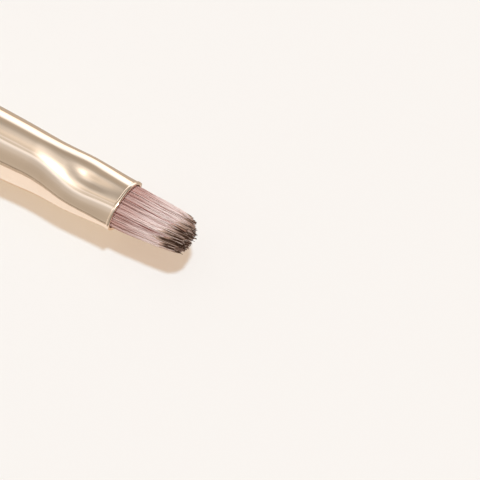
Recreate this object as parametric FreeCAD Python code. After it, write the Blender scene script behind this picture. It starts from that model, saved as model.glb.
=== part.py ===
# A flat eyeliner brush, lying on a table on its round tapered handle.
# A turned wooden handle carries a drawn metal ferrule, held by glue and two rolled crimp rings.
# The ferrule is round at the back and pressed flat towards its hemmed mouth.
# Resin inside the mouth holds the tuft of fine synthetic filaments, cut to a gently rounded edge.
#
# In the brush's own frame +X runs towards the tips, with x = 0 at the ferrule's mouth,
# +Y across the flat of the tuft and +Z out of the flat.
# The finished pieces are tipped by the handle's taper and set down on z = 0.

import FreeCAD
import Part
import math
import os
import random

Vector = FreeCAD.Vector

# Ferrule, in millimetres like every size here
ferrule_length = 32.0
ferrule_wall = 0.28
sleeve_length = 12.0
sleeve_diameter = 6.75
cone_front_diameter = 6.24
press_length = 10.4
press_lead = 0.6
press_run = 6.9
bulge_setback = 5.3
bulge_width = 6.5
land_rear_thickness = 3.82
mouth_width = 6.28
mouth_thickness = 3.64
flat_join_angle = 60.0
dent_setback = 4.4
dent_width = 2.6
dent_slope = 10.0
dent_rear_length = 2.5
dent_front_length = 3.9
hem_length = 0.4
hem_height = 0.1
hem_chamfer = 0.07

# Crimp rings that lock the ferrule to the handle's tenon
crimp_count = 2
crimp_setback = 1.8
crimp_pitch = 2.2
crimp_width = 0.9
crimp_depth = 0.22

# Handle
glue_gap = 0.05
tenon_length = 7.6
tenon_chamfer = 0.5
shoulder_diameter = 6.8
shoulder_chamfer = 0.15
swell_length = 24.0
belly_diameter = 7.0
taper_length = 100.0
tail_diameter = 4.9

# Tuft
tuft_free_length = 7.9
tuft_set_depth = 6.4
tuft_mouth_gap = 0.05
tuft_root_width = 4.7
tuft_root_thickness = 2.2
tuft_taper_length = 3.3
tuft_belly_width = 4.95
tuft_belly_thickness = 2.0
tuft_tip_width = 4.3
tuft_tip_thickness = 1.4
tip_slant = 0.5
tip_corner_drop = 1.0
tip_edge_drop = 0.35
lock_pitch = 0.29
lock_point = 0.7
lock_scatter = 0.35

# Resin
resin_depth = 8.6
resin_recess = 1.2
resin_gap = 0.03

# Places and angles that follow from the sizes above
sleeve_front_x = sleeve_length - ferrule_length
press_x = -press_length
cone_front_x = press_x - press_lead
cone_length = cone_front_x - sleeve_front_x
cone_drop = (sleeve_diameter - cone_front_diameter) / 2
bulge_x = -bulge_setback
dent_x = -dent_setback
land_x = press_x + press_run
shoulder_x = -ferrule_length - glue_gap
tenon_front_x = shoulder_x + tenon_length
belly_x = shoulder_x - swell_length
tail_x = belly_x - taper_length
taper_slope = (belly_diameter - tail_diameter) / 2 / taper_length
taper_angle = math.atan(taper_slope)

# Spans between the ovals that shape the pressed length, outside the wall and inside it
outer_spans = 12
inner_spans = 8


def mix(first, second, share):
    return first + (second - first) * share


def smooth(share):
    """Runs from 0 to 1, level at both ends."""
    share = min(max(share, 0.0), 1.0)
    return share * share * (3 - 2 * share)


def straight(start, end):
    return Part.LineSegment(Vector(*start, 0), Vector(*end, 0)).toShape()


def curved(start, middle, end):
    return Part.Arc(Vector(*start, 0), Vector(*middle, 0), Vector(*end, 0)).toShape()


def turned(profile):
    """A solid of revolution about the brush's axis, from edges that start and end on that axis."""
    start = profile[0].firstVertex().Point
    end = profile[-1].lastVertex().Point
    axis_edge = Part.LineSegment(end, start).toShape()
    face = Part.Face(Part.Wire(profile + [axis_edge]))
    return face.revolve(Vector(0, 0, 0), Vector(1, 0, 0), 360)


def oval_join(half_width, half_thickness):
    """Where an oval's round side meets its broad flat: across, up, and the flat's radius.

    The arcs join where the outline's normal stands at the join angle from the width.
    """
    angle = math.radians(flat_join_angle)
    level = math.cos(angle)
    rise = math.sin(angle)
    side_radius = (half_thickness * level - half_width * (1 - rise)) / (level + rise - 1)
    join_y = half_width - side_radius * (1 - level)
    return join_y, side_radius * rise, join_y / level


def oval(x, half_width, half_thickness):
    """The closed outline across the brush at x: two round sides and two broad flats, all tangent arcs."""
    join_y, join_z = oval_join(half_width, half_thickness)[:2]
    corners = [(join_y, -join_z), (join_y, join_z), (-join_y, join_z), (-join_y, -join_z)]
    middles = [(half_width, 0), (0, half_thickness), (-half_width, 0), (0, -half_thickness)]
    arcs = []
    for start, middle, end in zip(corners, middles, corners[1:] + corners[:1]):
        arcs.append(Part.Arc(Vector(x, *start), Vector(x, *middle), Vector(x, *end)).toShape())
    return Part.Wire(arcs)


def turned_arc(start, radius, first_angle, last_angle):
    """Start, middle and end of an arc whose normal turns from the first angle to the last."""
    points = []
    for angle in (first_angle, (first_angle + last_angle) / 2, last_angle):
        across = start[0] + radius * (math.cos(angle) - math.cos(first_angle))
        up = start[1] + radius * (math.sin(angle) - math.sin(first_angle))
        points.append((across, up))
    return points


def dented_oval(x, half_width, half_thickness, dent):
    """An oval whose flats sink in the middle, tangent all round: dent is the share of the full slope.

    In each flat a shallow hollow lies between two shoulder arcs, which leave the flat at the dent's edge.
    """
    join_y, join_z, flat_radius = oval_join(half_width, half_thickness)
    inner_y = dent_width / 4
    slope = mix(-math.asin(inner_y / flat_radius), math.radians(dent_slope), dent)
    edge_angle = math.acos(dent_width / 2 / flat_radius)
    shoulder_radius = (dent_width / 2 - inner_y) / (math.cos(edge_angle) + math.sin(slope))
    side = [(join_y, -join_z), (half_width, 0), (join_y, join_z)]
    flat = turned_arc(side[-1], flat_radius, math.radians(flat_join_angle), edge_angle)
    shoulder = turned_arc(flat[-1], shoulder_radius, edge_angle, math.pi / 2 + slope)
    inner_z = shoulder[-1][1]
    hollow = [(inner_y, inner_z), (0, inner_z - inner_y * math.tan(slope)), (-inner_y, inner_z)]
    far_shoulder, far_flat = [[(-y, z) for y, z in reversed(arc)] for arc in (shoulder, flat)]
    edges = []
    for half_turn in (1, -1):
        for points in (side, flat, shoulder, hollow, far_shoulder, far_flat):
            points_at_x = [Vector(x, half_turn * y, half_turn * z) for y, z in points]
            if points == hollow:
                curve = Part.BezierCurve()
                curve.setPoles(points_at_x)
                curve.setWeight(2, math.cos(slope))
            else:
                curve = Part.Arc(*points_at_x)
            edges.append(curve.toShape())
    return Part.Wire(edges)


def cone_radius(x):
    """Outer radius in front of the cone's curve, as drawn, before the mouth is pressed."""
    return cone_front_diameter / 2 - 2 * cone_drop / cone_length * (x - cone_front_x)


def pressed_half_thickness(x):
    """Half the thickness across the flats, which sink in over a long run and then close in slowly."""
    land_thickness = mix(land_rear_thickness, mouth_thickness, (x - land_x) / -land_x)
    return mix(cone_radius(x), land_thickness / 2, smooth((x - press_x) / press_run))


def pressed_half_width(x):
    """Half the width, which the metal pushed aside swells most where the flats are nearly down."""
    widening = smooth((x - press_x) / (bulge_x - press_x))
    narrowing = smooth((x - bulge_x) / -bulge_x)
    return mix(mix(cone_radius(x), bulge_width / 2, widening), mouth_width / 2, narrowing)


def dent_share(x):
    """How far the dent has sunk at x: quickly from behind, then slowly out towards the mouth."""
    if x < dent_x:
        return smooth(1 - (dent_x - x) / dent_rear_length)
    return smooth(1 - (x - dent_x) / dent_front_length)


def pressed_part(inset, front_x, spans):
    """The pressed length, from the cone to front_x, with a dent in each flat."""
    sections = []
    for step in range(spans + 1):
        x = mix(press_x, front_x, step / spans)
        size = (pressed_half_width(x) - inset, pressed_half_thickness(x) - inset)
        sections.append(dented_oval(x, *size, dent_share(x)))
    return Part.makeLoft(sections, True, True)


def ringed_edges(radius, rear_x, front_x):
    """A cylinder's profile from rear_x forwards, pressed in at each crimp ring."""
    edges = []
    at = (rear_x, radius)
    for ring in range(crimp_count):
        x = -ferrule_length + crimp_setback + ring * crimp_pitch
        floor = (x, radius - crimp_depth)
        for corner in ((x - crimp_width / 2, radius), floor, (x + crimp_width / 2, radius)):
            edges.append(straight(at, corner))
            at = corner
    edges.append(straight(at, (front_x, radius)))
    return edges


def ferrule_body(inset, rear_x, front_x, spans):
    """The solid inside the ferrule's outer surface, or inside a surface set in from it by inset."""
    sleeve_radius = sleeve_diameter / 2 - inset
    cone_rear = (sleeve_front_x, sleeve_radius)
    cone_middle = (sleeve_front_x + cone_length / 2, sleeve_radius - cone_drop / 4)
    cone_front = (cone_front_x, sleeve_radius - cone_drop)
    press_rear = (press_x, cone_radius(press_x) - inset)
    profile = [straight((rear_x, 0), (rear_x, sleeve_radius))]
    profile += ringed_edges(sleeve_radius, rear_x, sleeve_front_x)
    profile.append(curved(cone_rear, cone_middle, cone_front))
    profile.append(straight(cone_front, press_rear))
    profile.append(straight(press_rear, (press_x, 0)))
    return turned(profile).fuse([pressed_part(inset, front_x, spans)], 1e-4)


def make_ferrule():
    """A thin drawn shell with a hem rolled outwards round its mouth."""
    body = ferrule_body(0.0, -ferrule_length, -hem_length / 2, outer_spans)
    hem_size = (mouth_width / 2 + hem_height, mouth_thickness / 2 + hem_height)
    hem = Part.Face(oval(-hem_length, *hem_size)).extrude(Vector(hem_length, 0, 0))
    rims = [edge for edge in hem.Edges if edge.BoundBox.XLength < hem_length / 2]
    hem = hem.makeChamfer(hem_chamfer, rims)
    bore = ferrule_body(ferrule_wall, -ferrule_length - ferrule_wall, ferrule_wall, inner_spans)
    return body.fuse(hem).cut(bore)


def make_handle():
    """Tail, straight taper, gentle swell and shoulder, with a grooved tenon that fills the sleeve."""
    tail_radius = tail_diameter / 2 / math.cos(taper_angle)
    tail_centre_x = tail_x + tail_radius * math.sin(taper_angle)
    tail_turn = (math.pi / 2 - taper_angle) / 2
    tail_end = (tail_centre_x - tail_radius, 0)
    tail_middle_x = tail_centre_x - tail_radius * math.cos(tail_turn)
    tail_middle = (tail_middle_x, tail_radius * math.sin(tail_turn))
    tail_top = (tail_x, tail_diameter / 2)
    belly = (belly_x, belly_diameter / 2)

    shoulder_back = (shoulder_x - shoulder_chamfer, shoulder_diameter / 2)
    shoulder_front = (shoulder_x, shoulder_diameter / 2 - shoulder_chamfer)
    swell_run = shoulder_back[0] - belly_x
    swell_rise = swell_run * taper_slope
    swell_fall = belly[1] + swell_rise - shoulder_back[1]
    swell_middle = (belly_x + swell_run / 2, belly[1] + swell_rise / 2 - swell_fall / 4)

    tenon_radius = sleeve_diameter / 2 - ferrule_wall - glue_gap
    chamfer_rear = (tenon_front_x - tenon_chamfer, tenon_radius)
    chamfer_front = (tenon_front_x, tenon_radius - tenon_chamfer)

    profile = [
        curved(tail_end, tail_middle, tail_top),
        straight(tail_top, belly),
        curved(belly, swell_middle, shoulder_back),
        straight(shoulder_back, shoulder_front),
        straight(shoulder_front, (shoulder_x, tenon_radius)),
    ]
    profile += ringed_edges(tenon_radius, shoulder_x, tenon_front_x - tenon_chamfer)
    profile.append(straight(chamfer_rear, chamfer_front))
    profile.append(straight(chamfer_front, (tenon_front_x, 0)))
    return turned(profile)


def tuft_sections():
    """Place, half width and half thickness of the tuft at its root, the mouth, its belly and its tip."""
    inset = ferrule_wall + tuft_mouth_gap
    belly_place = tuft_free_length - tuft_taper_length
    return [
        (-tuft_set_depth, tuft_root_width / 2, tuft_root_thickness / 2),
        (0.0, mouth_width / 2 - inset, mouth_thickness / 2 - inset),
        (belly_place, tuft_belly_width / 2, tuft_belly_thickness / 2),
        (tuft_free_length, tuft_tip_width / 2, tuft_tip_thickness / 2),
    ]


def tuft_point(x, across, up):
    """A point of the tuft at x, at shares of its half width and half thickness there."""
    sections = tuft_sections()
    for rear, front in zip(sections, sections[1:]):
        if x <= front[0]:
            break
    along = (x - rear[0]) / (front[0] - rear[0])
    return Vector(x, across * mix(rear[1], front[1], along), up * mix(rear[2], front[2], along))


def tip_length(across, up):
    """Where the filaments are cut: rounded at the corners, slanted, and bevelled to a thin edge."""
    slant = tip_slant / 2 * across
    corner = tip_corner_drop * abs(across) ** 3
    edge = tip_edge_drop * up ** 2
    return tuft_free_length - slant - corner - edge


# Steps from a honeycomb cell to its six neighbours, in turn about it
cell_sides = [(1, 0), (0, 1), (-1, 1), (-1, 0), (0, -1), (1, -1)]


def cell_corners(cell):
    """The corners of a honeycomb cell, each named by the sum of the three cells that meet there.

    The side that faces a neighbour runs to the corner of the same number from the one before it.
    """
    corners = []
    for one, two in zip(cell_sides, cell_sides[1:] + cell_sides[:1]):
        corners.append((3 * cell[0] + one[0] + two[0], 3 * cell[1] + one[1] + two[1]))
    return corners


def mouth_shares(i, j):
    """A place of the honeycomb as shares of the tuft's half width and half thickness at the mouth."""
    half_width, half_thickness = tuft_sections()[1][1:]
    return lock_pitch * (i + j / 2) / half_width, lock_pitch * j * math.sqrt(0.75) / half_thickness


def tuft_cells():
    """The honeycomb cells that lie wholly in the tuft's outline at the mouth, an ellipse."""
    reach = math.ceil(mouth_width / lock_pitch)
    cells = []
    for j in range(-reach, reach + 1):
        for i in range(-reach, reach + 1):
            corners = [mouth_shares(one / 3, two / 3) for one, two in cell_corners((i, j))]
            if max(math.hypot(*corner) for corner in corners) <= 1:
                cells.append((i, j))
    return cells


def make_tuft():
    """The bundle as one solid: a honeycomb of locks that run from the resin to points of their own."""
    shuffle = random.Random(11)
    cells = tuft_cells()
    ring_places = [section[0] for section in tuft_sections()[:3]]
    points = []
    numbers = {}

    def numbered(name, x, across, up):
        if name not in numbers:
            numbers[name] = len(points)
            points.append(tuft_point(x, across, up))
        return numbers[name]

    for cell in cells:
        for corner in cell_corners(cell):
            across, up = mouth_shares(corner[0] / 3, corner[1] / 3)
            if (corner, 0) not in numbers:
                notch = tip_length(across, up) - lock_point * shuffle.uniform(0.7, 1.0)
                for ring, x in enumerate(ring_places + [notch]):
                    numbered((corner, ring), x, across, up)

    facets = []
    next_corner = {}
    for cell in cells:
        across, up = mouth_shares(*cell)
        tip = numbered(cell, tip_length(across, up) - lock_scatter * shuffle.random(), across, up)
        corners = cell_corners(cell)
        for side, step in enumerate(cell_sides):
            first, second = corners[side - 1], corners[side]
            facets.append((tip, numbers[first, 3], numbers[second, 3]))
            if (cell[0] + step[0], cell[1] + step[1]) in cells:
                continue
            next_corner[first] = second
            for ring in range(3):
                facets.append((numbers[first, ring], numbers[second, ring], numbers[second, ring + 1]))
                facets.append((numbers[first, ring], numbers[second, ring + 1], numbers[first, ring + 1]))
    skin = Part.Shape()
    skin.makeShapeFromMesh((points, facets), 1e-5)
    rim = [next(iter(next_corner))]
    while len(rim) <= len(next_corner):
        rim.append(next_corner[rim[-1]])
    root = Part.Face(Part.makePolygon([points[numbers[corner, 0]] for corner in rim]))
    shell = Part.Shell(skin.Faces + [root])
    shell.sewShape()
    return Part.makeSolid(shell)


def make_resin_plug():
    """Cured resin that fills the ferrule behind the mouth, with the tuft's root set in it."""
    inside = ferrule_body(ferrule_wall + resin_gap, -ferrule_length, ferrule_wall, inner_spans)
    length = resin_depth - resin_recess
    corner = Vector(-resin_depth, -sleeve_diameter / 2, -sleeve_diameter / 2)
    slab = Part.makeBox(length, sleeve_diameter, sleeve_diameter, corner)
    root, mouth = tuft_sections()[:2]
    rear = oval(root[0] - resin_gap, root[1] + resin_gap, root[2] + resin_gap)
    front = oval(mouth[0], mouth[1] + resin_gap, mouth[2] + resin_gap)
    pocket = Part.makeLoft([rear, front], True, True)
    return inside.common(slab).cut(pocket)


pieces = {
    "handle": make_handle(),
    "ferrule": make_ferrule(),
    "resin_plug": make_resin_plug(),
    "bristle_tuft": make_tuft(),
}

# The brush lies on the straight underside of its taper, so its head is tipped up off the table.
rest_drop = belly_diameter / 2 * math.cos(taper_angle) - belly_x * math.sin(taper_angle)
for piece in pieces.values():
    piece.rotate(Vector(0, 0, 0), Vector(0, 1, 0), -math.degrees(taper_angle))
rear_end = pieces["handle"].BoundBox.XMin
tip_end = pieces["bristle_tuft"].BoundBox.XMax
os.makedirs("parts", exist_ok=True)
for name, piece in pieces.items():
    piece.translate(Vector(-(rear_end + tip_end) / 2, 0, rest_drop))
    piece.exportStep("parts/" + name + ".step")
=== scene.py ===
# A flat eyeliner brush on pale paper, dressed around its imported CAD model.
# The ferrule and the tuft are modelled in millimetres in the brush's own frame, where x = 0 is the
# ferrule's mouth and +X runs towards the tips, then scaled to metres and laid down as the CAD is.

import math

import bpy
import numpy as np
from mathutils import Matrix, Vector


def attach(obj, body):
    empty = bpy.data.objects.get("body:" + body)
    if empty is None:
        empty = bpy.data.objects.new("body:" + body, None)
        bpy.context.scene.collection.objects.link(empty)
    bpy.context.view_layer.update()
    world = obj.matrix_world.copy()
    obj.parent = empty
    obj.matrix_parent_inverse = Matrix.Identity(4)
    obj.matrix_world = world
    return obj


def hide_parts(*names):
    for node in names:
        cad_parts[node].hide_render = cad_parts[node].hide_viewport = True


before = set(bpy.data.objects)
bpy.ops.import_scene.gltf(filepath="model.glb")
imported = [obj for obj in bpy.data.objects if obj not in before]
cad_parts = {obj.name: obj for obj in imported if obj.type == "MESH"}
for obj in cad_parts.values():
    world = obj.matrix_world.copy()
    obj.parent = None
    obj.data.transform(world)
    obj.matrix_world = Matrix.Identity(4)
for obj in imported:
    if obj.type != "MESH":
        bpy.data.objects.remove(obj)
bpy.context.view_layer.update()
bpy.context.scene.view_settings.view_transform = "Standard"


# Camera: a long lens that looks down on the head from the near side, turned so that the brush runs
# from the left edge down to the right. It stands on a line from the middle of the picture.
picture_middle = Vector((0.086371, 0.003566, 0.002265))
towards_camera = Vector((0.289, -0.472, 0.833)).normalized()
picture_up = Vector((-0.4353, 0.7106, 0.553))
picture_width = 0.04729
lens_length = 300.0
sensor_width = 36.0

camera_distance = picture_width * lens_length / sensor_width
picture_right = picture_up.cross(towards_camera).normalized()
picture_up = towards_camera.cross(picture_right)
bpy.ops.object.camera_add(location=picture_middle + towards_camera * camera_distance)
camera = bpy.context.object
camera.name = "camera"
camera.rotation_euler = Matrix((picture_right, picture_up, towards_camera)).transposed().to_euler()
camera.data.lens = lens_length
camera.data.clip_start = 0.01
camera.data.clip_end = 50.0
bpy.context.scene.camera = camera


# Handle: turned wood, dipped in dusty rose lacquer and polished. Its tenon is glued into the ferrule.
# The CAD solid is its true shape, so it stays and gets the lacquer.
class Value:
    """A socket of a material. Python's arithmetic on it adds Math nodes."""

    def __init__(self, shader, socket):
        self.shader = shader
        self.socket = socket

    def math(self, operation, *others):
        return self.shader.node("ShaderNodeMath", {"operation": operation}, [self, *others])

    def __add__(self, other):
        return self.math("ADD", other)

    def __sub__(self, other):
        return self.math("SUBTRACT", other)

    def __mul__(self, other):
        return self.math("MULTIPLY", other)

    def __truediv__(self, other):
        return self.math("DIVIDE", other)

    __radd__ = __add__
    __rmul__ = __mul__

    def __rsub__(self, other):
        return self * -1.0 + other

    def between(self, low, high):
        """Runs smoothly from 0 at low to 1 at high, and stays there."""
        settings = {"interpolation_type": "SMOOTHSTEP"}
        sockets = {"Value": self, "From Min": low, "From Max": high}
        return self.shader.node("ShaderNodeMapRange", settings, sockets)


class Shader:
    """The nodes of one material, or of the world."""

    def __init__(self, tree):
        self.tree = tree
        tree.nodes.clear()

    def node(self, kind, settings, inputs, output=0):
        """Adds a node with its settings, then fills its sockets with numbers, colours or other nodes."""
        made = self.tree.nodes.new(kind)
        for name, value in settings.items():
            if name == "stops":
                self.set_stops(made.color_ramp.elements, value)
            else:
                setattr(made, name, value)
        for name, value in inputs.items() if isinstance(inputs, dict) else enumerate(inputs):
            socket = made.inputs[name]
            if isinstance(value, Value):
                self.tree.links.new(value.socket, socket)
            elif socket.type == "RGBA":
                socket.default_value = (*value, 1.0)
            else:
                socket.default_value = value
        if made.outputs:
            return Value(self, made.outputs[output])

    def set_stops(self, elements, stops):
        """Sets the places of all the stops first, so that each colour then goes to its own stop."""
        while len(elements) < len(stops):
            elements.new(0.5)
        for element, (place, colour) in zip(elements, stops):
            element.position = place
        for element, (place, colour) in zip(elements, stops):
            element.color = (*colour, 1.0)

    def place(self, per_metre=(1, 1, 1)):
        """Place on the piece. A stretched pattern is given by its spots per metre along X, Y and Z."""
        place = self.node("ShaderNodeTexCoord", {}, {}, "Object")
        return self.node("ShaderNodeMapping", {}, {"Vector": place, "Scale": per_metre})

    def noise(self, place, scale, detail, roughness=0.5):
        return self.node("ShaderNodeTexNoise", {},
                         {"Vector": place, "Scale": scale, "Detail": detail, "Roughness": roughness})

    def blend(self, share, first, second):
        """The colour at that share of the way from the first to the second."""
        return self.node("ShaderNodeMix", {"data_type": "RGBA"}, {0: share, 6: first, 7: second}, 2)

    def bump(self, height, distance, strength):
        return self.node("ShaderNodeBump", {}, {"Height": height, "Distance": distance, "Strength": strength})

    def surface(self, **sockets):
        named = {name.replace("_", " "): value for name, value in sockets.items()}
        made = self.node("ShaderNodeBsdfPrincipled", {}, named)
        self.node("ShaderNodeOutputMaterial", {}, {"Surface": made})


def new_material(name):
    material = bpy.data.materials.new(name)
    material.use_nodes = True
    return material, Shader(material.node_tree)


lacquer_rose = (0.30, 0.125, 0.118)
lacquer_deep = (0.24, 0.092, 0.088)
lacquer_gloss = 0.16
rubbed_duller = 0.08
peel_height = 0.00001

lacquer, shader = new_material("lacquer")
cloud = shader.noise(shader.place((60, 400, 400)), 1.0, 3.0).between(0.35, 0.65)
orange_peel = shader.noise(shader.place(), 700.0, 1.0)
rub = shader.noise(shader.place((300, 2500, 2500)), 1.0, 4.0, 0.6).between(0.55, 0.8)
shader.surface(
    Base_Color=shader.blend(cloud, lacquer_rose, lacquer_deep),
    Roughness=rub * rubbed_duller + lacquer_gloss,
    Coat_Weight=0.8,
    Coat_Roughness=0.06,
    Normal=shader.bump(orange_peel, peel_height, 0.3),
)
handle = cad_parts["handle"]
handle.data.materials.clear()
handle.data.materials.append(lacquer)


# Ferrule: one drawn aluminium tube, polished and anodised champagne gold. Two rolled rings crimp it to
# the handle. Its front is pressed between flat jaws, and its mouth ends in a small rolled hem.
ferrule_length = 32.0
ferrule_wall = 0.28
sleeve_front_x = -20.0
sleeve_radius = 3.375
cone_front_x = -11.0
cone_front_radius = 3.12
press_rear_x = -10.4
press_front_x = -3.5
mouth_half_thickness = 1.82
land_closing = 0.025
widest_x = -5.3
widest_half_width = 3.25
mouth_half_width = 3.11
side_squareness = 2.43
side_rear_x = -9.7
side_front_x = -3.0
crown_squareness = 1.4
crown_rear_x = -5.7
dent_depth = 0.18
dent_rear_x = -6.85
dent_deepest_x = -4.4
dent_y = -0.22
dent_half_width = 1.1
crimp_places = (-30.2, -28.0)
crimp_half_width = 0.45
crimp_depth = 0.22
crimps_rear_x = -30.7
crimps_front_x = -27.5
hem_length = 0.36
hem_height = 0.07
hem_rear_x = -hem_length - 0.1
hem_rings = 13
lip_radius = 0.1
lip_rings = 6
sides_around = 176
crease_angle = 50

# The brush lies along the straight taper of its handle, which tips its head up.
taper_angle = math.atan(1.05 / 100.0)
mouth_place = (0.0752893, 0.0, 0.0040883)


def smooth(share):
    """Eases a share in and out, and holds it between 0 and 1."""
    share = np.clip(share, 0.0, 1.0)
    return share * share * (3.0 - 2.0 * share)


def mix(first, second, share):
    return first + (second - first) * share


def sleeve_and_cone(x):
    """Outer radius of the tube before its mouth is pressed."""
    along = (x - sleeve_front_x) / (cone_front_x - sleeve_front_x)
    drop = sleeve_radius - cone_front_radius
    curve = np.where(along < 1.0, np.clip(along, 0.0, 1.0) ** 2, 2.0 * along - 1.0)
    radius = sleeve_radius - drop * curve
    for place in crimp_places:
        radius = radius - crimp_depth * (1.0 - smooth(np.abs(x - place) / crimp_half_width))
    return radius


def ferrule_outline(x, inset, angle):
    """Across and up places of the ferrule's outline at x, set in by inset, round all the angles."""
    round_radius = sleeve_and_cone(x)
    pressed = smooth((x - press_rear_x) / (press_front_x - press_rear_x))
    half_thickness = mix(round_radius, mouth_half_thickness - land_closing * x, pressed) - inset
    widening = smooth((x - press_rear_x) / (widest_x - press_rear_x))
    narrowing = smooth((x - widest_x) / -widest_x)
    half_width = mix(mix(round_radius, widest_half_width, widening), mouth_half_width, narrowing) - inset
    side_power = 2.0 / mix(2.0, side_squareness, smooth((x - side_rear_x) / (side_front_x - side_rear_x)))
    crown_power = 2.0 / mix(2.0, crown_squareness, smooth((x - crown_rear_x) / -crown_rear_x))
    across = half_width * np.sign(np.cos(angle)) * np.abs(np.cos(angle)) ** side_power
    up = half_thickness * np.sign(np.sin(angle)) * np.abs(np.sin(angle)) ** crown_power
    sinking = smooth((x - dent_rear_x) / (dent_deepest_x - dent_rear_x))
    rising = np.clip((x - dent_deepest_x) / -dent_deepest_x, 0.0, 1.0) ** 2
    aside = np.clip(np.abs(across - dent_y) / dent_half_width, 0.0, 1.0)
    dent = dent_depth * sinking * (1.0 - rising) * (0.5 + 0.5 * np.cos(math.pi * aside))
    return across, up - np.sign(up) * dent


def cut_into_rings(tube, rings):
    """Subdivides the long edges of a straight tube, 1 or 2 long, so that it has that many rings."""
    bpy.ops.object.mode_set(mode="EDIT")
    bpy.ops.mesh.select_mode(type="EDGE")
    bpy.ops.mesh.select_all(action="DESELECT")
    bpy.ops.object.mode_set(mode="OBJECT")
    for edge in tube.data.edges:
        ends = [tube.data.vertices[i].co.x for i in edge.vertices]
        edge.select = abs(ends[0] - ends[1]) > 0.5
    bpy.ops.object.mode_set(mode="EDIT")
    bpy.ops.mesh.subdivide(number_cuts=rings - 2)
    bpy.ops.object.mode_set(mode="OBJECT")


def lay_down(piece):
    """Turns a piece from the brush's own millimetres to metres on the table, into its mesh."""
    piece.scale = (0.001, 0.001, 0.001)
    piece.rotation_euler = (0.0, -taper_angle, 0.0)
    piece.location = mouth_place
    bpy.ops.object.select_all(action="DESELECT")
    piece.select_set(True)
    bpy.context.view_layer.objects.active = piece
    bpy.ops.object.transform_apply(location=True, rotation=True, scale=True)


# Rings of the outside from the rear: where each stretch ends in front, and how many rings it has
stretches = [
    (crimps_rear_x, 5), (crimps_front_x, 45), (sleeve_front_x, 5), (cone_front_x, 13), (side_front_x, 65),
    (hem_rear_x, 17), (-hem_length, 2),
]
# Rings of the inside, from the mouth back
inner_places = [
    -0.5, -1.5, -3.0, *np.linspace(-4.8, -9.0, 12), -14.0, -19.0, -24.0, -27.0, -ferrule_length,
]
# The wall's section goes forward outside, round the hem and the lip, and back inside: x and inset
profile = []
stretch_rear_x = -ferrule_length
for stretch_front_x, rings in stretches:
    for x in np.linspace(stretch_rear_x, stretch_front_x, rings, endpoint=False):
        profile.append((x, 0.0))
    stretch_rear_x = stretch_front_x
for turn in np.linspace(0.0, math.pi, hem_rings):
    profile.append((-hem_length * (1 + math.cos(turn)) / 2, -hem_height * math.sin(turn)))
for turn in np.linspace(0.0, math.pi / 2, lip_rings):
    profile.append((lip_radius * (math.cos(turn) - 1), ferrule_wall - lip_radius * (1 - math.sin(turn))))
for x in inner_places:
    profile.append((x, ferrule_wall))
profile = np.array(profile)

bpy.ops.object.select_all(action="DESELECT")
bpy.ops.mesh.primitive_cylinder_add(
    vertices=sides_around, radius=1.0, depth=2.0, end_fill_type="NOTHING", rotation=(0, math.pi / 2, 0))
ferrule = bpy.context.object
ferrule.name = "ferrule_tube"
bpy.ops.object.transform_apply(location=True, rotation=True, scale=True)
cut_into_rings(ferrule, len(profile))

# The straight tube runs from x = -1 to 1, and each of its rings takes the place of one profile point.
points = np.empty(len(ferrule.data.vertices) * 3)
ferrule.data.vertices.foreach_get("co", points)
points = points.reshape(-1, 3)
ring = np.rint((points[:, 0] + 1.0) / 2.0 * (len(profile) - 1)).astype(int)
angle = np.arctan2(points[:, 2], points[:, 1])
points[:, 0] = profile[ring, 0]
points[:, 1], points[:, 2] = ferrule_outline(profile[ring, 0], profile[ring, 1], angle)
ferrule.data.vertices.foreach_set("co", points.ravel())

bpy.ops.object.mode_set(mode="EDIT")
bpy.ops.mesh.select_all(action="SELECT")
bpy.ops.mesh.region_to_loop()
bpy.ops.mesh.bridge_edge_loops()
bpy.ops.mesh.select_all(action="SELECT")
bpy.ops.mesh.normals_make_consistent(inside=False)
bpy.ops.object.mode_set(mode="OBJECT")
bpy.ops.object.shade_smooth_by_angle(angle=math.radians(crease_angle))
lay_down(ferrule)

champagne = (0.97, 0.79, 0.64)
champagne_worn = (0.93, 0.74, 0.58)
mirror_polish = 0.035
smudged_duller = 0.05
drawn_duller = 0.04
waviness_height = 0.000016

gold, shader = new_material("champagne_gold")
drawn_lines = shader.noise(shader.place((90, 2600, 2600)), 1.0, 4.0, 0.6)
waviness = shader.noise(shader.place((120, 380, 380)), 1.0, 2.0)
smudge = shader.noise(shader.place(), 500.0, 4.0, 0.6).between(0.5, 0.75)
shader.surface(
    Base_Color=shader.blend(smudge * 0.5, champagne, champagne_worn),
    Metallic=1.0,
    Roughness=smudge * smudged_duller + drawn_lines * drawn_duller + mirror_polish,
    Normal=shader.bump(drawn_lines * 0.6 + waviness, waviness_height, 0.5),
)
ferrule.data.materials.append(gold)
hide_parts("ferrule")
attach(ferrule, "root")


# Resin: epoxy poured into the ferrule round the filaments' roots, cured hard and amber.
# It lies behind the mouth, so the CAD solid stays and gets the finish.
resin_amber = (0.36, 0.17, 0.05)
resin_pale = (0.50, 0.28, 0.10)
resin_gloss = 0.12
swirl_duller = 0.1
swirl_height = 0.00004

resin, shader = new_material("cured_resin")
swirl = shader.noise(shader.place(), 900.0, 3.0)
shader.surface(
    Base_Color=shader.blend(swirl.between(0.35, 0.7), resin_amber, resin_pale),
    Roughness=swirl * swirl_duller + resin_gloss,
    Normal=shader.bump(swirl, swirl_height, 0.4),
)
resin_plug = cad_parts["resin_plug"]
resin_plug.data.materials.clear()
resin_plug.data.materials.append(resin)


# Tuft: some thirteen hundred fine synthetic filaments, pink to mauve, set in the resin and cut to a
# rounded edge. Dark brown product has dried on the tips and glues them into small points.
strand_pitch = 0.1
strand_width = 0.1
strand_scatter = 0.22
strand_rings = 11
first_ring_share = 0.44
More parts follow.
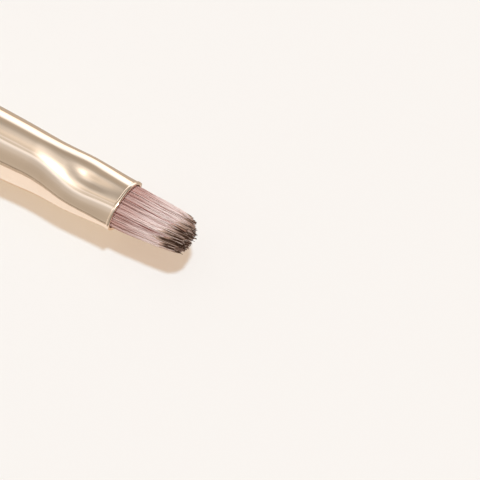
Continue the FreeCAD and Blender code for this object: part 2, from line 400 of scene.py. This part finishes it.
# How thick a strand is along its free length, as a share of its width
taper_places = (0.0, 0.75, 1.0)
taper_shares = (1.0, 0.92, 0.45)
tuft_root_x = -6.4
tuft_free_length = 7.9
longest_x = 7.72
# The bundle at places along it: x, half width and half thickness
tuft_sections = np.array([
    (tuft_root_x, 2.30, 1.06),
    (-0.3, 2.73, 1.38),
    (0.6, 2.73, 1.36),
    (4.6, 2.52, 1.04),
    (tuft_free_length, 2.10, 0.76),
])
grid_reach = 34
bundle_edge = 0.975
clumps_drawn = 270
clump_edge = 0.97
mean_half_width = 2.3
mean_half_thickness = 1.1
clump_unevenness = 0.18
clump_pull_range = (0.1, 0.45)
tip_slant = -0.4
tip_corner = -1.1
tip_bevel = -0.35
tip_unevenness = 0.3
bend_spread_across = 0.09
bend_spread_up = 0.06
wobble_height = 0.02
wobble_per_mm = 1.3
lean_across = 0.2
shuffle = np.random.default_rng(5)

bpy.ops.object.select_all(action="DESELECT")
bpy.ops.mesh.primitive_cylinder_add(
    vertices=4, radius=0.5, depth=1.0, end_fill_type="NOTHING",
    location=(0.5, 0, 0), rotation=(0, math.pi / 2, 0))
strand = bpy.context.object
bpy.ops.object.transform_apply(location=True, rotation=True, scale=True)
cut_into_rings(strand, strand_rings)
bpy.ops.object.mode_set(mode="EDIT")
bpy.ops.mesh.select_all(action="SELECT")
bpy.ops.mesh.region_to_loop()
bpy.ops.mesh.edge_face_add()
bpy.ops.mesh.select_all(action="SELECT")
bpy.ops.mesh.normals_make_consistent(inside=False)
bpy.ops.object.mode_set(mode="OBJECT")
strand_points = np.array([v.co[:] for v in strand.data.vertices])
strand_faces = [tuple(p.vertices) for p in strand.data.polygons]
bpy.data.objects.remove(strand)

# Roots: a close-packed grid, shaken, as shares of the bundle's half width and half thickness
i, j = np.meshgrid(np.arange(-grid_reach, grid_reach + 1), np.arange(-grid_reach, grid_reach + 1))
across = (strand_pitch * (i + j / 2)).ravel() / tuft_sections[1, 1]
up = (strand_pitch * j * math.sqrt(0.75)).ravel() / tuft_sections[1, 2]
across = across + shuffle.normal(0, strand_scatter, across.size) * strand_pitch / tuft_sections[1, 1]
up = up + shuffle.normal(0, strand_scatter, up.size) * strand_pitch / tuft_sections[1, 2]
inside = np.hypot(across, up) < bundle_edge
across, up = across[inside], up[inside]
count = across.size

# Small clumps: each strand leans a little to its clump's middle as it nears the tip.
clump_across = shuffle.uniform(-1, 1, clumps_drawn)
clump_up = shuffle.uniform(-1, 1, clumps_drawn)
kept = np.hypot(clump_across, clump_up) < clump_edge
clump_across, clump_up = clump_across[kept], clump_up[kept]
apart_across = (across[:, None] - clump_across) * mean_half_width
apart_up = (up[:, None] - clump_up) * mean_half_thickness
clump = np.hypot(apart_across, apart_up).argmin(axis=1)
clump_reach = shuffle.normal(0, clump_unevenness, clump_across.size)[clump]
clump_pull = shuffle.uniform(*clump_pull_range, clump_across.size)[clump]

# Tips: the edge is cut on a slant, rounded at the corners and bevelled, and is never quite even.
slant = tip_slant * across
corner = tip_corner * np.abs(across) ** 3
bevel = tip_bevel * up ** 2
uneven = clump_reach - np.abs(shuffle.normal(0, tip_unevenness, count))
tip_x = np.minimum(longest_x + slant + corner + bevel + uneven, tuft_free_length)

# Each strand's points: one ring at the root, and the rest from just behind the mouth to the tip
ring_shares = np.concatenate([[0.0], np.linspace(first_ring_share, 1.0, strand_rings - 1)])
ring = np.rint(strand_points[:, 0] * (strand_rings - 1)).astype(int)
x = tuft_root_x + (tip_x[:, None] - tuft_root_x) * ring_shares[ring][None, :]
free = np.clip(x / tuft_free_length, 0, 1)
pull = clump_pull[:, None] * free ** 2.5
across_here = mix(across[:, None], clump_across[clump][:, None], pull)
up_here = mix(up[:, None], clump_up[clump][:, None], pull)
half_width = np.interp(x, tuft_sections[:, 0], tuft_sections[:, 1])
half_thickness = np.interp(x, tuft_sections[:, 0], tuft_sections[:, 2])
bend_across = shuffle.normal(0, bend_spread_across, count)[:, None] * free ** 2
bend_up = shuffle.normal(0, bend_spread_up, count)[:, None] * free ** 2
wave = shuffle.uniform(0, 2 * math.pi, count)[:, None]
wobble = wobble_height * np.sin(wave + x * wobble_per_mm) * np.clip(x, 0, 1)
radius = 0.5 * strand_width * np.interp(free, taper_places, taper_shares)
turn = shuffle.uniform(0, math.pi / 2, count)[:, None]
side_y = strand_points[None, :, 1] * 2
side_z = strand_points[None, :, 2] * 2
offset_y = side_y * np.cos(turn) - side_z * np.sin(turn)
offset_z = side_y * np.sin(turn) + side_z * np.cos(turn)
lean = lean_across * free ** 2
y = across_here * half_width + lean + bend_across + wobble + offset_y * radius
z = up_here * half_thickness + bend_up + wobble + offset_z * radius

tuft_points = np.stack([x, y, z], axis=2).reshape(-1, 3)
per = len(strand_points)
tuft_faces = [tuple(v + n * per for v in face) for n in range(count) for face in strand_faces]
tuft_mesh = bpy.data.meshes.new("tuft")
tuft_mesh.from_pydata(tuft_points.tolist(), [], tuft_faces)
tuft_mesh.update()
tuft = bpy.data.objects.new("tuft_filaments", tuft_mesh)
bpy.context.scene.collection.objects.link(tuft)
tuft_mesh.polygons.foreach_set("use_smooth", np.ones(len(tuft_mesh.polygons), bool))

# Where the dried product starts: millimetres to the near side of the tuft's middle, and x
product_line = np.array([
    (-2.4, 6.0), (-0.9, 6.2), (-0.3, 6.05), (0.25, 6.0), (0.7, 5.2), (1.6, 5.05), (2.05, 5.6), (2.5, 5.1),
])
product_unevenness = 0.22
product_clump_unevenness = 0.25
product_fade = 0.4
caked_mean = 0.8
caked_spread = 0.2
caked_clump_spread = 0.25
caked_least = 0.1
clean_share = 0.16
tuft_half_width = 2.5
# Darker streaks of crimson strands, partly painted shade between clumps: how far each lies to the near side,
# how wide it is, and how dark
streaks = [
    (-1.75, 0.04, 0.7), (-1.2, 0.04, 0.9), (-0.68, 0.045, 1.0), (-0.05, 0.045, 1.0), (0.55, 0.03, 0.4),
    (1.52, 0.05, 1.0), (2.2, 0.03, 0.2),
]
stray_share = 0.1
stray_darkness = 0.3

near = -across * tuft_half_width
front = np.interp(near, product_line[:, 0], product_line[:, 1])
front = front + shuffle.normal(0, product_unevenness, count)
front = front + shuffle.normal(0, product_clump_unevenness, clump_across.size)[clump]
soiled = np.clip((x - front[:, None]) / product_fade, 0, 1)
caked = shuffle.normal(caked_mean, caked_spread, count)
caked = caked + shuffle.normal(0.0, caked_clump_spread, clump_across.size)[clump]
caked = np.clip(caked, caked_least, 1)
caked = np.where(shuffle.uniform(0, 1, count) < clean_share, caked_least, caked)
soiled = soiled * caked[:, None]
tone = shuffle.uniform(0, 1, count)
dark = np.zeros(count)
for middle, spread, depth in streaks:
    dark = np.maximum(dark, depth * np.exp(-((near - middle) / spread) ** 2))
dark = np.clip(dark + (shuffle.uniform(0, 1, count) > 1 - stray_share) * stray_darkness, 0, 1)

strand_values = {"soiled": soiled, "tone": np.repeat(tone, per), "dark": np.repeat(dark, per), "along": free}
for name, values in strand_values.items():
    attribute = tuft_mesh.attributes.new(name, "FLOAT", "POINT")
    attribute.data.foreach_set("value", np.ascontiguousarray(values.ravel()))
lay_down(tuft)

strand_pale = (0.99, 0.84, 0.78)
# Rose: partly the strands' own tone, and partly painted shade towards the roots at the ferrule's mouth
rose_and_root_shade = (0.62, 0.35, 0.295)
# Crimson: a few dark strands, and painted shade between clumps along the streaks
crimson_and_clump_shade = (0.32, 0.075, 0.050)
product_tan = (0.56, 0.36, 0.25)
product_brown = (0.080, 0.038, 0.021)
grain_height = 0.000004

filament, shader = new_material("pink_filament")
soiled, tone, dark, along = [
    shader.node("ShaderNodeAttribute", {"attribute_name": name}, {}, "Fac") for name in strand_values]
# Towards the roots the strands are painted a darker rose, which is painted shade at the ferrule's mouth. The
# rest of the rose comes at random, as the strands' own tone.
rose_tone_and_root_shade = tone * 0.35 + (1 - along.between(0.0, 0.55)) * 0.65
strand_colour = shader.blend(rose_tone_and_root_shade, strand_pale, rose_and_root_shade)
# Dark strands: the streaks, which are partly painted shade between clumps, and a few stray dark strands
strand_colour = shader.blend(dark * 0.9, strand_colour, crimson_and_clump_shade)
strand_colour = shader.blend(soiled.between(0.0, 0.15) * 0.8, strand_colour, product_tan)
grain = shader.noise(shader.place((900, 9000, 9000)), 1.0, 2.0)
shader.surface(
    Base_Color=shader.blend(soiled.between(0.15, 0.8), strand_colour, product_brown),
    Roughness=soiled * 0.25 + 0.4,
    Specular_IOR_Level=0.2,
    Normal=shader.bump(grain, grain_height, 0.4),
)
tuft_mesh.materials.append(filament)
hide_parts("bristle_tuft")
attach(tuft, "root")


# Table: pale cream paper, far larger than the brush. Part of the colour that the camera and the metal
# see is a glow, which keeps the shadow pale and warm. Farther out the metal mirrors the dimmer room in
# place of the paper, and on the far side the glare of a window.
table_size = 6.0
paper_cream = (0.95, 0.907, 0.86)
paper_grain = (0.93, 0.88, 0.825)
paper_glow = (0.50, 0.365, 0.245)
mirrored_far = (0.53, 0.46, 0.385)
glare_colour = (0.9, 0.88, 0.85)
near_side_fade = (0.030, 0.036)
far_side_fade = (0.003, 0.005)
glare_rise = (0.035, 0.06)

bpy.ops.object.select_all(action="DESELECT")
bpy.ops.mesh.primitive_plane_add(size=table_size)
table = bpy.context.object
table.name = "table"
paper, shader = new_material("paper")
mottle = shader.noise(shader.place(), 150.0, 3.0)
where_on_table = shader.node("ShaderNodeTexCoord", {}, {}, "Object")
beyond = shader.node("ShaderNodeSeparateXYZ", {}, {"Vector": where_on_table}, "Y")
glossy_ray = shader.node("ShaderNodeLightPath", {}, {}, "Is Glossy Ray")
camera_ray = shader.node("ShaderNodeLightPath", {}, {}, "Is Camera Ray")
near_side_end = (beyond * -1.0).between(*near_side_fade)
far_side_end = beyond.between(*far_side_fade)
window_glare = beyond.between(*glare_rise) * glossy_ray
seen_beyond = glossy_ray * (near_side_end + far_side_end)
seen_bright = camera_ray + glossy_ray * (1 - near_side_end - far_side_end)
glow = tuple(colour * share for colour, share in zip(paper_cream, paper_glow))
dimmed = tuple(colour - share for colour, share in zip(paper_cream, glow))
paper_colour = shader.blend(mottle * 0.4, paper_cream, paper_grain)
paper_colour = shader.blend(seen_bright, paper_colour, dimmed)
glowing = shader.blend(seen_bright, (0.0, 0.0, 0.0), glow)
shader.surface(
    Base_Color=shader.blend(seen_beyond, paper_colour, mirrored_far),
    Roughness=0.8,
    Specular_IOR_Level=0.1,
    Emission_Color=shader.blend(window_glare, glowing, glare_colour),
    Emission_Strength=1.0,
)
table.data.materials.append(paper)


# Light: a plain studio. One small soft lamp almost overhead draws the shadow, and a warm room fills it.
# The metal mirrors two soft ceiling panels, a low window on the far side and the dimmer room between.
key_direction = Vector((0.14, 0.03, 1.0)).normalized()
key_colour = (0.57, 0.66, 0.71)
key_spread = 7.0
key_energy = math.pi
fill_colour = (0.45, 0.36, 0.32)
# The panels: where each hangs, how bright it is, and its spread in degrees
panels = [
    (Vector((0.20, -0.03, 1.0)).normalized(), 3.2, 13.8),
    (Vector((-0.106, 0.445, 1.0)).normalized(), 0.8, 19.0),
]
panel_colour = (1.0, 1.0, 0.98)
# The room: degrees from overhead towards the near side, and how bright the room is there
room_bands = [
    (-90, 1.40), (-80, 1.66), (-72, 1.56), (-66, 1.09), (-60, 0.46), (-52, 0.33), (-45, 0.25),
    (-38, 0.13), (-26, 0.12), (-20, 0.17), (-14, 0.33), (-9, 0.44), (-4, 0.44), (0, 0.49),
    (4, 0.72), (8, 0.58), (12, 0.58), (16, 1.04), (20, 0.99), (25, 0.76), (30, 0.65),
    (36, 0.63), (45, 0.52), (60, 0.47), (75, 0.47), (84, 0.52), (87, 0.32), (90, 0.26),
]
ramp_top = 2.0
warm_below = 0.3
neutral_above = 0.9
warm_tint = (1.13, 1.02, 0.86)
neutral_tint = (0.97, 1.0, 1.03)
# The bands hold at the heading that a level mirror shows the camera. Beyond the tips it is dimmer, and
# beyond the handle brighter.
level_mirror_heading = -0.289
dimmer_ahead = -0.71


def band_colour(level):
    """Dim bands are warm and bright ones neutral. The ramp holds them as shares of its top."""
    share = float(smooth((level - warm_below) / (neutral_above - warm_below)))
    tints = zip(warm_tint, neutral_tint)
    return tuple(level / ramp_top * mix(warm, neutral, share) for warm, neutral in tints)


bpy.ops.object.light_add(type="SUN", location=(0, 0, 1))
key = bpy.context.object
key.name = "key_lamp"
key.data.angle = math.radians(key_spread)
key.data.energy = key_energy
key.data.color = key_colour
key.rotation_euler = key_direction.to_track_quat("Z", "Y").to_euler()

world = bpy.data.worlds.new("studio")
bpy.context.scene.world = world
world.use_nodes = True
shader = Shader(world.node_tree)
heading = shader.node("ShaderNodeTexCoord", {}, {}, "Generated")
heading_x, heading_y, heading_z = [
    shader.node("ShaderNodeSeparateXYZ", {}, {"Vector": heading}, axis) for axis in "XYZ"]
tilt = (heading_y * -1.0).math("ARCTAN2", heading_z) * (180 / math.pi)
stops = [((angle + 90) / 180, band_colour(level)) for angle, level in room_bands]
room = shader.node("ShaderNodeValToRGB", {"stops": stops}, {"Fac": (tilt + 90.0) / 180.0})
ahead = (heading_x - level_mirror_heading) * dimmer_ahead + 1.0
room = shader.node("ShaderNodeVectorMath", {"operation": "SCALE"}, {0: room, "Scale": ahead})
for direction, level, spread in panels:
    facing = shader.node(
        "ShaderNodeVectorMath", {"operation": "DOT_PRODUCT"}, [heading, tuple(direction)], "Value")
    aside = facing.math("ARCCOSINE") * (180 / math.pi / spread)
    panel = (aside * aside * -1.0).math("EXPONENT") * (level / ramp_top)
    room = shader.node(
        "ShaderNodeMix", {"data_type": "RGBA", "blend_type": "ADD"}, {0: panel, 6: room, 7: panel_colour}, 2)
mirrored = shader.node("ShaderNodeBackground", {}, {"Color": room, "Strength": ramp_top})
fill = shader.node("ShaderNodeBackground", {}, {"Color": fill_colour, "Strength": 1.0})
seen = shader.node("ShaderNodeBackground", {}, {"Color": paper_cream, "Strength": 1.0})
glossy_ray = shader.node("ShaderNodeLightPath", {}, {}, "Is Glossy Ray")
camera_ray = shader.node("ShaderNodeLightPath", {}, {}, "Is Camera Ray")
lit = shader.node("ShaderNodeMixShader", {}, {0: glossy_ray, 1: fill, 2: mirrored})
both = shader.node("ShaderNodeMixShader", {}, {0: camera_ray, 1: lit, 2: seen})
shader.node("ShaderNodeOutputWorld", {}, {"Surface": both})
